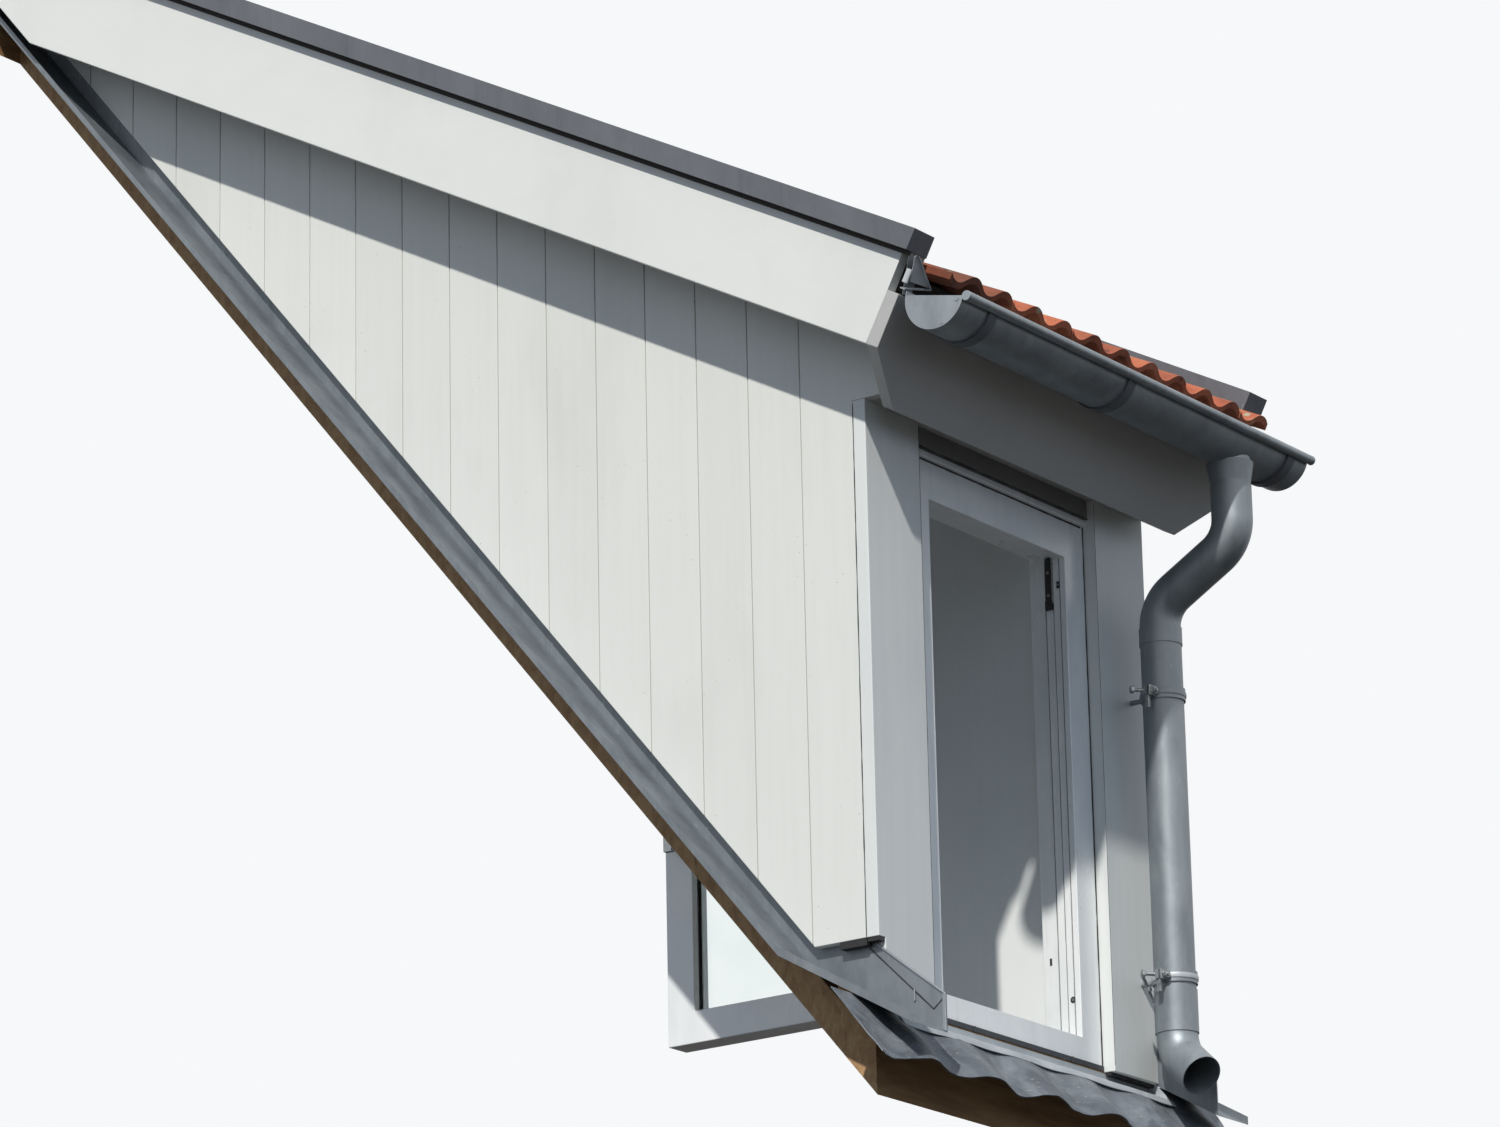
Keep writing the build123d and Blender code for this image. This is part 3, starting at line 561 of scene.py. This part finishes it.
def apron_point(x, run):
    """Point of the flap so far down the slope from its fold, with its wave and creases."""
    share = min(1.0, max(0.0, run / wave_start_run))
    height = wave_height * roll(x) * (0.15 + 0.85 * share)
    crease = noise.noise(Vector((x * 16, run * 11, 3.0))) + 0.5 * noise.noise(Vector((x * 45, run * 30, 8.0)))
    height += crease_height * crease * share
    reach = run + edge_wander * noise.noise(Vector((x * 9, 5.0, 0))) * share
    return fold_out + down_slope * reach + off_slope * height + Vector((x, 0, 0))


def make_apron():
    """The waved flap, with a wing at each side that runs up under the side flashing."""
    count = round(2 * apron_half / apron_column)
    columns = [-apron_half + apron_column * step for step in range(count + 1)]
    wing_runs = [-wing_run, -wing_run / 2]
    runs = wing_runs + [apron_reach * step / apron_rows for step in range(apron_rows + 1)]
    work = bmesh.new()
    made = [[work.verts.new(apron_point(x, run)) for x in columns] for run in runs]
    for row, (lower, upper) in enumerate(zip(made, made[1:])):
        for index in range(count):
            middle = abs(columns[index] + columns[index + 1]) / 2
            if row >= len(wing_runs) or middle > wing_inner:
                work.faces.new((lower[index], upper[index], upper[index + 1], lower[index + 1]))
    loose = [vert for vert in work.verts if not vert.link_faces]
    bmesh.ops.delete(work, geom=loose, context="VERTS")
    add_piece("apron_flap", work, lead, ("lead_apron",), thickness=apron_thickness, degrees=60)


# The ledge's section from behind the sill to its turned edge, as y and z
ledge_section = [(-0.0348, 0.1265), (-0.0352, 0.116), (-0.0375, 0.1135), (-0.060, 0.1035)]
ledge_section += [(-0.082, 0.0940), (-0.0870, 0.0905), (-0.0915, 0.0850), (-0.0965, 0.0785)]
ledge_half = 0.4535
ledge_columns = 120
ledge_flat_points = 4


def make_ledge():
    """Smooth strip from behind the sill, with its front edge turned down over the flap."""
    work = bmesh.new()
    columns = [-ledge_half + 2 * ledge_half * step / ledge_columns for step in range(ledge_columns + 1)]
    rows = []
    for index, (y, z) in enumerate(ledge_section):
        sag = 0.0 if index < ledge_flat_points else 0.0015
        row = []
        for x in columns:
            lift = sag * (noise.noise(Vector((x * 7, index * 0.2, 1.0))) + 0.7 * roll(x))
            row.append(Vector((x, y - lift * 0.5, z + lift)))
        rows.append(row)
    quad_grid(work, rows)
    add_piece("apron_ledge", work, lead_smooth, thickness=0.0018, degrees=50)


def make_under_sill_strip():
    """Strip in the gap under the sill, with the two clips that hold it. Its near-black lead is partly the
    lead's dirt and partly painted shade of the recess under the sill.
    """
    sill_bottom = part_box("window_frame")[0][2] - 0.0005
    clip_width = 0.003
    work = bmesh.new()
    block(work, (-0.299, -0.0362, 0.1305), (0.299, -0.0346, sill_bottom))
    for x in (-0.140, 0.188):
        block(work, (x, -0.0385, 0.1290), (x + clip_width, -0.0345, sill_bottom))
    add_fitting("under_sill_strip", work, lead_dirt_and_painted_shade, 0.0003)


def make_ledge_ends():
    """Plates that close the ledge's two ends, from its section down to the flap."""
    under = [(-0.0350, 0.1378), (-0.0575, 0.1245), (-0.0850, 0.0925)]
    outline = ledge_section[::-1][2:] + under
    work = bmesh.new()
    for sign in (-1, 1):
        points = [Vector((sign * ledge_half, y, z)) for y, z in outline]
        plate(work, points, (sign * 0.0010, 0, 0))
    add_fitting("ledge_ends", work, lead_smooth)


make_apron()
make_ledge()
make_under_sill_strip()
make_ledge_ends()


# Small fittings, folds and seams
board_face = 0.475
opening_edge = 0.300
frame_front = -0.033
board_front = -0.060
pipe_x = 0.409
pipe_y = -0.133
forward = (0, -1, 0)
inward = (-1, 0, 0)


def side_block(work, sign, inner, outer, low, high):
    """Adds a block on one side, between two distances from the middle. Low and high are y and z."""
    first, last = sorted((sign * inner, sign * outer))
    block(work, (first, *low), (last, *high))


def upright_bead(work, x, y, low, high, across, out, width, height):
    """Adds a bead that runs up from one height to another."""
    bead(work, (x, y, low), (x, y, high), across, out, width, height)


def level_bead(work, half, y, z, width, height, rough=0.8):
    """Adds a bead that runs level across the front, as far to the left as to the right."""
    bead(work, (-half, y, z), (half, y, z), (0, 0, 1), forward, width, height, rough)


def make_seals_and_shade():
    """Dark uneven lines where the frame meets the corner boards, and these meet the cheeks. Drawn as black
    gasket, they are painted shade of these joints.
    """
    frame_low, frame_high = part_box("window_frame")
    across_x = (1, 0, 0)
    across_y = (0, 1, 0)
    for side, sign in (("left", -1), ("right", 1)):
        work = bmesh.new()
        x = sign * (opening_edge - 0.0014)
        upright_bead(work, x, frame_front, frame_low[2], frame_high[2], across_x, forward, 0.0030, 0.0008)
        x = sign * board_face
        upright_bead(work, x, frame_front, 0.246, 1.253, across_y, (sign, 0, 0), 0.0018, 0.0004)
        x = sign * (opening_edge + 0.0006)
        upright_bead(work, x, board_front, 0.140, 1.250, across_x, forward, 0.0008, 0.0003)
        # Under the cheek's front end and under the corner board's outer edge, dark blocks that are painted
        # shade of the gaps there; a dark filler at the board's foot
        side_block(work, sign, 0.456, 0.473, (frame_front + 0.001, 0.231), (0.026, 0.245))
        side_block(work, sign, 0.456, 0.473, (board_front + 0.001, 0.2365), (frame_front - 0.001, 0.2438))
        side_block(work, sign, 0.302, 0.452, (-0.050, 0.1225), (-0.0375, 0.1288))
        add_fitting("joint_seal_and_shade_" + side, work, gasket_painted_shade)
    # Between the frame and the lintel board, and under the drip strip: dark beads that are painted shade of
    # the joint and painted shadow under the drip
    work = bmesh.new()
    level_bead(work, opening_edge, -0.0452, 1.2205, 0.0024, 0.0006)
    level_bead(work, 0.292, -0.0332, 1.2040, 0.0036, 0.0006, 0.4)
    add_fitting("head_seal_and_shade", work, gasket_painted_shade)


# The frame's stepped rebates: depth, growth of the opening's half width, and width of the seal
inner_half = 0.232
sill_height = 0.045
head_height = 0.088
rebates = ((-0.0180, 0.004, 0.0036), (0.0000, 0.009, 0.0040), (0.0218, 0.017, 0.0064))


def make_rebate_seals():
    """Gaskets in the inner corners of the frame's stepped rebates, all round the opening."""
    frame_low, frame_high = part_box("window_frame")
    work = bmesh.new()
    for depth, growth, width in rebates:
        y = depth - 0.0002
        half = inner_half + growth
        low = frame_low[2] + sill_height - growth
        high = frame_high[2] - head_height + growth
        runs = [((-half, low), (-half, high), (1, 0, 0)), ((half, low), (half, high), (-1, 0, 0))]
        runs += [((-half, high), (half, high), (0, 0, -1)), ((-half, low), (half, low), (0, 0, 1))]
        for start, end, out in runs:
            points = [Vector((x, y, z)) for x, z in (start, end)]
            bead(work, *points, (0, 1, 0), out, width, 0.0010, 0.2)
    add_fitting("rebate_seal", work, grey_seal)


verge_end = -0.0245
sheet_thickness = slope_point(0, 0.0012, 0) - slope_point(0, 0, 0)
curl_rise = slope_point(0, 0, 0.026) - slope_point(0, 0, 0)


def verge_plate(work, sign, outline, along, depth):
    """Adds a sheet across the slope. The outline gives distances from the middle and lifts."""
    plate(work, [slope_point(sign * x, along, lift) for x, lift in outline], depth)


def make_verge_closure(side, sign):
    """Sheet that closes a verge's end between board, trim and tiles, and the folded edge below."""
    work = bmesh.new()
    sheet = [(0.594, 0.200), (0.550, 0.200), (0.549, 0.150), (0.549, 0.108), (0.572, 0.108), (0.594, 0.170)]
    verge_plate(work, sign, sheet, verge_end + 0.006, sheet_thickness)
    edge = [(0.594, 0.1155), (0.594, 0.1180), (0.520, 0.1365), (0.520, 0.1340)]
    verge_plate(work, sign, edge, verge_end - 0.012, sheet_thickness * 10)
    add_fitting("verge_closure_" + side, work, zinc)


def make_verge_stop(side, sign):
    """Bright triangle in front of the closure, with its lip and the curled end of the sheet. Their light zinc
    is partly the galvanised sheet's own colour and partly painted reflection, brighter than their shaded
    faces would render.
    """
    work = bmesh.new()
    triangle = [(0.588, 0.182), (0.592, 0.178), (0.577, 0.134), (0.521, 0.137)]
    verge_plate(work, sign, triangle, verge_end - 0.004, sheet_thickness)
    lip = [(0.588, 0.182), (0.584, 0.182), (0.517, 0.137), (0.521, 0.137)]
    verge_plate(work, sign, lip, verge_end - 0.009, sheet_thickness * 5)
    curl = []
    for step in range(9):
        turn = math.pi * step / 8
        x = 0.5880 + 0.0050 * math.cos(turn)
        curl.append(slope_point(sign * x, -0.0220 - 0.010 * math.sin(turn), 0.128))
    plate(work, curl, curl_rise)
    add_fitting("verge_stop_" + side, work, zinc_bright, 0.0004)


def make_verge_painted_shadow(side, sign):
    """Painted shadow: a dark strip on the bargeboard just under the verge trim, for the shade between trim
    and board.
    """
    work = bmesh.new()
    trim_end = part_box("verge_trim_" + side)[1][1]
    start = -0.020
    end = (trim_end - fold_y) / math.cos(roof_slope) - 0.20
    low, high = 0.1765, 0.1855
    corners = ((start, low), (end, low), (end, high), (start, high))
    plate(work, [slope_point(sign * 0.5952, along, lift) for along, lift in corners], (sign * 0.0025, 0, 0))
    add_fitting("verge_painted_shadow_" + side, work, painted_shadow_strip)


def make_verge_closures():
    """Closures of both verges' lower ends."""
    for side, sign in (("left", -1), ("right", 1)):
        make_verge_closure(side, sign)
        make_verge_stop(side, sign)
        make_verge_painted_shadow(side, sign)


ear_x = 0.360
ear_y = pipe_y
band_radius = 0.0429
ridge_profile = ((0.0, -0.0055), (0.0018, -0.0045), (0.0026, 0.0), (0.0018, 0.0045), (0.0, 0.0055))
ridge_steps = 48


def make_clip_bolts(name, low, level):
    """Clamp bolt with its washers, the threaded end toward the wall, and the lower clip's brace."""
    work = bmesh.new()
    ear_low = (low[0] + 0.001, ear_y - 0.0095, level - 0.010)
    block(work, ear_low, (ear_x + 0.010, ear_y - 0.0055, level + 0.010))
    bolt_x = ear_x - 0.001
    # Washer, bolt head, bolt end and nut, in front of the ears and behind them
    disc(work, (bolt_x, ear_y - 0.0095, level), forward, 0.0100, 0.0016)
    disc(work, (bolt_x, ear_y - 0.0110, level), forward, 0.0082, 0.0050, 6)
    disc(work, (bolt_x, ear_y - 0.0155, level), forward, 0.0042, 0.0035, 16)
    disc(work, (bolt_x, ear_y + 0.0055, level), (0, 1, 0), 0.0070, 0.0050, 6)
    # Threaded rod with its rings and its nut
    reach = Vector((-0.026, 0.021, 0))
    root = Vector((0.353, ear_y, level))
    disc(work, root, reach, 0.0034, reach.length + 0.002, 16)
    for ring in range(8):
        disc(work, root + reach * (0.30 + 0.085 * ring), reach, 0.0040, 0.0012, 16)
    disc(work, root + reach * 0.86, reach, 0.0080, 0.0060, 6)
    tab_low = (low[0] + 0.004, ear_y - 0.0040, level - 0.034)
    block(work, tab_low, (low[0] + 0.012, ear_y + 0.0040, level - 0.008))
    if name == "pipe_clip_lower":
        top = root + reach * 1.02
        foot = Vector((0.364, ear_y + 0.020, level - 0.050))
        side = (foot - top).normalized().cross(Vector((0, 1, 0))) * 0.0045
        plate(work, [top - side, top + side, foot + side, foot - side], (0, 0.0026, 0))
        disc(work, top.lerp(foot, 0.55), forward, 0.0058, 0.0040, 6)
    add_fitting(name + "_bolts", work, steel, 0.0005)


def make_clip_ridge(name, level, material):
    """Raised ridge round a clip's band."""
    work = bmesh.new()
    rows = []
    for step in range(ridge_steps + 1):
        turn = 2 * math.pi * step / ridge_steps
        row = []
        for rise, spread in ridge_profile:
            radius = band_radius + rise
            centre = Vector((pipe_x, pipe_y, level + spread))
            row.append(centre + Vector((radius * math.cos(turn), radius * math.sin(turn), 0)))
        rows.append(row)
    quad_grid(work, rows)
    bmesh.ops.remove_doubles(work, verts=work.verts, dist=merge_distance)
    add_fitting(name + "_ridge", work, material)


def make_clip_fittings():
    """Bolts and ridges of both pipe clips. The lower clip's band is the brighter one."""
    for name, material in (("pipe_clip_upper", zinc), ("pipe_clip_lower", zinc_bright)):
        low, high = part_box(name)
        level = (low[2] + high[2]) / 2
        make_clip_bolts(name, low, level)
        make_clip_ridge(name, level, material)


def make_jamb_fittings():
    """Striker, keep, vent slot and screw cap on the stepped rebates of the right jamb."""
    # Dark parts: striker, keep below it, stop on the outer step, vent slot and screw cap
    work = bmesh.new()
    striker = [(0.0035, 1.050), (0.0170, 1.050), (0.0170, 1.118), (0.0140, 1.149), (0.0045, 1.149)]
    plate(work, [Vector((0.2375, y, z)) for y, z in striker], (0.0035, 0, 0))
    block(work, (0.2350, 0.0020, 1.0330), (0.2410, 0.0175, 1.0510))
    block(work, (0.2340, -0.0175, 1.0720), (0.2360, -0.0105, 1.0860))
    block(work, (0.2482, 0.0390, 0.3380), (0.2492, 0.0440, 0.3520))
    disc(work, (0.2361, -0.0135, 0.2610), inward, 0.0062, 0.0012)
    add_fitting("jamb_striker", work, dark_fitting, 0.0006)
    # Bright parts: strip beside the striker, its two screws, and the screws of the cap and the stop
    work = bmesh.new()
    block(work, (0.2366, -0.0012, 1.0450), (0.2411, 0.0022, 1.1260))
    for z in (1.062, 1.108):
        disc(work, (0.2376, 0.0100, z), inward, 0.0030, 0.0012, 16)
    disc(work, (0.2350, -0.0135, 0.2610), inward, 0.0032, 0.0008, 16)
    disc(work, (0.2341, -0.0140, 1.0790), inward, 0.0018, 0.0006, 12)
    add_fitting("jamb_strip", work, steel, 0.0004)


def make_flashing_folds():
    """Hem along the top of each side flashing's front, and the seam of its folded corner."""
    face = 0.455
    hem = [(-0.034, 0.2430), (-0.1865, 0.1226), (-0.1865, 0.1175), (-0.034, 0.2380)]
    corner = [(-0.1868, 0.1215), (-0.1868, 0.0520), (-0.1800, 0.0570), (-0.1800, 0.1215)]
    fold = [(-0.122, 0.140), (-0.122, 0.118), (-0.119, 0.116), (-0.119, 0.140)]
    for side, sign in (("left", -1), ("right", 1)):
        work = bmesh.new()
        for outline, thickness in ((hem, 0.0026), (corner, 0.0034), (fold, 0.0030)):
            plate(work, [Vector((sign * face, y, z)) for y, z in outline], (sign * thickness, 0, 0))
        add_fitting("flashing_hem_" + side, work, zinc, 0.0008)
        # The seam's dark bead is painted shadow of the seam's step
        work = bmesh.new()
        seam_x = sign * (face + 0.0001)
        turn = Vector((seam_x, -0.1600, 0.0970))
        out = (sign, 0, 0)
        bead(work, (seam_x, -0.0260, 0.2293), turn, (0, 0.702, -0.712), out, 0.0022, 0.0009, 0.5)
        bead(work, turn, (seam_x, -0.1796, 0.1135), (0, 0.64, 0.77), out, 0.0018, 0.0009, 0.3)
        add_fitting("flashing_seam_shadow_" + side, work, gasket_painted_shade)


def make_gutter_ends():
    """Small soldered caps on the gutter's ends: on its front bead, beside it and at its bottom."""
    work = bmesh.new()
    for sign in (-1, 1):
        end = sign * 0.6028
        outward = (sign, 0, 0)
        disc(work, (end, -0.3744, 1.3496), outward, 0.0094, 0.0014)
        disc(work, (end, -0.3530, 1.3490), outward, 0.0050, 0.0014)
        disc(work, (end, -0.3180, 1.3100), outward, 0.0025, 0.0012, 12)
    add_fitting("gutter_bead_caps", work, zinc, 0.0004)


make_seals_and_shade()
make_rebate_seals()
make_gutter_ends()
make_verge_closures()
make_clip_fittings()
make_jamb_fittings()
make_flashing_folds()


# Solids of the CAD that stay, with eased edges and their materials
def dress(name, material, arris=0.0):
    """Gives a CAD node its finish. Flat pieces also get rounded arrises of that radius."""
    node = nodes[name]
    mesh = node.data
    mesh.materials.clear()
    mesh.materials.append(material)
    if "custom_normal" in mesh.attributes:
        mesh.attributes.remove(mesh.attributes["custom_normal"])
    weld = node.modifiers.new("weld", "WELD")
    weld.merge_threshold = merge_distance
    if arris:
        flat = node.modifiers.new("flat", "DECIMATE")
        flat.decimate_type = "DISSOLVE"
        flat.angle_limit = math.radians(0.5)
        ease(node, arris)
    split_sharp(node)


for side in ("left", "right"):
    dress("corner_board_" + side, board_paint, 0.0015)
    dress("bargeboard_" + side, slope_paint, 0.0015)
    dress("corner_post_" + side, timber, 0.001)
    dress("sole_plate_" + side, timber, 0.001)
    dress("cheek_studs_" + side, timber, 0.001)
    dress("verge_batten_" + side, timber)
    dress("lining_" + side, lining_paint, 0.001)
    dress("verge_trim_" + side, zinc_dark, 0.0008)
    dress("side_flashing_" + side, zinc_flashing)
for name in ("front_trimmer", "lay_board", "head_beam", "rafters"):
    dress(name, timber, 0.001)
# The timbers under the tiles are near-black as painted shade
for name in ("tile_battens", "eaves_fillet", "roof_boarding"):
    dress(name, painted_shade_timber, 0.001)
# The fascia and soffit paint is greyed as painted shade of the eaves
dress("fascia_board", cross_paint_painted_shade, 0.0015)
dress("soffit_board", cross_paint_painted_shade, 0.001)
dress("lintel_board", dark_paint, 0.001)
dress("ceiling_lining", lining_paint, 0.001)
dress("window_frame", white_profile, 0.0012)
dress("sash_frame", white_profile, 0.002)
dress("sash_glass", glass)
for name in ("gutter", "outlet_funnel", "swan_neck", "downpipe", "pipe_shoe"):
    dress(name, zinc)
for name in ("pipe_clip_upper", "pipe_clip_lower"):
    dress(name, zinc)
dress("gutter_brackets", zinc_dark)
for name in ("sash_hinges", "window_handle"):
    dress(name, steel)


# Floor, light and camera
floor_level = -2.6
floor_half = 40.0
floor_seen = (0.86, 0.86, 0.85)
floor_bounce = (0.035, 0.032, 0.03)
sky_colour = (0.62, 0.78, 1.0, 1.0)
sky_strength = 0.45
backdrop_colour = (0.93, 0.94, 0.95, 1.0)
sun_direction = Vector((0.6740, 0.2860, -0.6813))


def make_floor():
    """Floor that is pale to the camera but sends little light up to the dormer."""
    corners = ((-1, -1), (1, -1), (1, 1), (-1, 1))
    points = [(x * floor_half, y * floor_half, floor_level) for x, y in corners]
    mesh = bpy.data.meshes.new("floor")
    mesh.from_pydata(points, [], [(0, 1, 2, 3)])
    floor = bpy.data.objects.new("floor", mesh)
    scene.collection.objects.link(floor)
    shader = Shader("floor", roughness=0.9)
    path = shader.add("LightPath")
    shader.colour(shader.mix(floor_bounce, floor_seen, path.outputs["Is Camera Ray"]))
    mesh.materials.append(shader.material)


def make_world():
    """Pale backdrop for the camera and for mirror-like rays, and an even soft sky for the rest."""
    world = bpy.data.worlds.new("studio")
    world.use_nodes = True
    scene.world = world
    tree = world.node_tree
    sky = tree.nodes["Background"]
    sky.inputs["Color"].default_value = sky_colour
    sky.inputs["Strength"].default_value = sky_strength
    backdrop = tree.nodes.new("ShaderNodeBackground")
    backdrop.inputs["Color"].default_value = backdrop_colour
    path = tree.nodes.new("ShaderNodeLightPath")
    backdrop_share = path.outputs["Is Camera Ray"]
    for kind in ("Is Glossy Ray", "Is Transmission Ray"):
        either = tree.nodes.new("ShaderNodeMath")
        either.operation = "MAXIMUM"
        tree.links.new(backdrop_share, either.inputs[0])
        tree.links.new(path.outputs[kind], either.inputs[1])
        backdrop_share = either.outputs[0]
    mix = tree.nodes.new("ShaderNodeMixShader")
    tree.links.new(backdrop_share, mix.inputs["Fac"])
    tree.links.new(sky.outputs[0], mix.inputs[1])
    tree.links.new(backdrop.outputs[0], mix.inputs[2])
    tree.links.new(mix.outputs[0], tree.nodes["World Output"].inputs["Surface"])


def make_light():
    """Sun from the left and the front, about 43 degrees high, slightly warm and slightly soft."""
    sun = bpy.data.lights.new("key", "SUN")
    sun.energy = 3.3
    sun.angle = math.radians(1.2)
    sun.color = (1.0, 0.975, 0.93)
    lamp = bpy.data.objects.new("key", sun)
    lamp.rotation_mode = "QUATERNION"
    lamp.rotation_quaternion = sun_direction.to_track_quat("-Z", "Y")
    scene.collection.objects.link(lamp)


def make_camera():
    """The photo's camera, solved from its straight edges: below the eaves, to the left."""
    camera = bpy.data.cameras.new("camera")
    camera.lens = 144.0
    camera.sensor_width = 36.0
    camera.clip_end = 100.0
    holder = bpy.data.objects.new("camera", camera)
    right = Vector((0.5856, -0.8103, -0.0199)).normalized()
    back = Vector((-0.7765, -0.5538, -0.3006))
    up = back.cross(right).normalized()
    right = up.cross(back).normalized()
    rotation = Matrix((right, up, back.normalized())).transposed()
    holder.matrix_world = Matrix.Translation((-9.0787, -5.9304, -2.3379)) @ rotation.to_4x4()
    scene.collection.objects.link(holder)
    scene.camera = holder


make_floor()
make_world()
make_light()
make_camera()
scene.view_settings.view_transform = "Standard"
